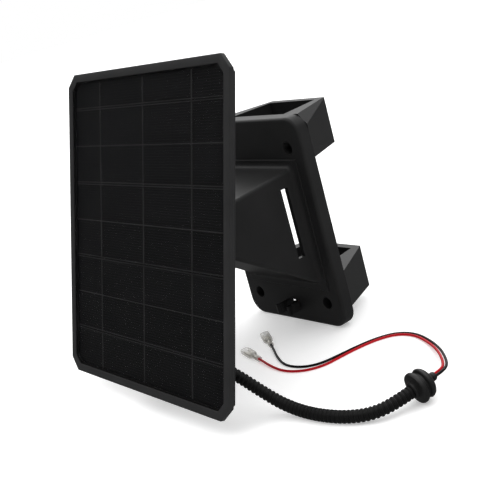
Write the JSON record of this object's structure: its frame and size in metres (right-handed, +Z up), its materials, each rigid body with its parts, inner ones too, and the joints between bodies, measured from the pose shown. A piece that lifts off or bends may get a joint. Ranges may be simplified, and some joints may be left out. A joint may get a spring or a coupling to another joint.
{
  "type": "solar charging panel",
  "caption": "Framed solar charging panel on a hollow tilting post bracket with a strap slot, four screw holes, a clip, and a ribbed lead ending in insulated spade terminals.",
  "frame": {"origin": "centre of the four-screw pattern, on the plane where the bracket's two feet meet the post", "axes": "+X to the right seen from the front, +Y towards the post, +Z up the post"},
  "size_m": [0.2849, 0.2008, 0.2233],
  "materials": {
    "frame_plastic": "satin, fine grain",
    "bracket_plastic": "satin, fine grain",
    "box_plastic": "satin",
    "glass": "clear, low iron",
    "film": "clear film",
    "silicon": "dark blue-black cell",
    "tinned_ribbon": "tinned, satin",
    "back_film": "black film",
    "seal_rubber": "matt",
    "screw_steel": "zinc plated",
    "board_laminate": "green solder mask",
    "diode_epoxy": "black epoxy",
    "solder": "tinned",
    "gland_plastic": "satin nylon",
    "insert_brass": "bright",
    "conduit_plastic": "ribbed black polymer",
    "lead_rubber": "satin",
    "black_insulation": "black silicone",
    "red_insulation": "red silicone",
    "terminal_tin": "tinned brass",
    "clear_sleeve": "clear flexible vinyl"
  },
  "bodies": {
    "bracket_body": {"bracket": "bracket_plastic", "tilt_bolt": "screw_steel", "tilt_washers": "screw_steel", "tilt_nut": "screw_steel", "conduit": "conduit_plastic", "grommet": "lead_rubber", "wire_collar": "lead_rubber", "black_wire": "black_insulation", "red_wire": "red_insulation", "black_terminal": "terminal_tin", "red_terminal": "terminal_tin", "black_terminal_sleeve": "clear_sleeve", "red_terminal_sleeve": "clear_sleeve"},
    "panel_body": {"panel_frame": "frame_plastic", "cover_glass": "glass", "encapsulant": "film", "solar_cells": "silicon", "cell_ribbons": "tinned_ribbon", "busbars": "tinned_ribbon", "back_sheet": "back_film", "frame_gasket": "seal_rubber", "rear_cover": "frame_plastic", "junction_box": "box_plastic", "junction_box_seal": "seal_rubber", "junction_box_lid": "box_plastic", "lid_screws": "screw_steel", "circuit_board": "board_laminate", "board_screws": "screw_steel", "blocking_diode": "diode_epoxy", "solder_posts": "solder", "output_tabs": "tinned_ribbon", "gland_body": "gland_plastic", "gland_nut": "gland_plastic", "tilt_mount": "frame_plastic", "tilt_mount_screws": "screw_steel", "mount_inserts": "insert_brass"}
  },
  "joints": [
    {"name": "panel_tilt", "type": "hinge", "parent": "bracket_body", "child": "panel_body", "pos_m": [0, -0.144, 0.024], "axis": [-1, 0, 0], "range_deg": [-19.25, 40.75], "deforming": ["conduit"]}
  ]
}
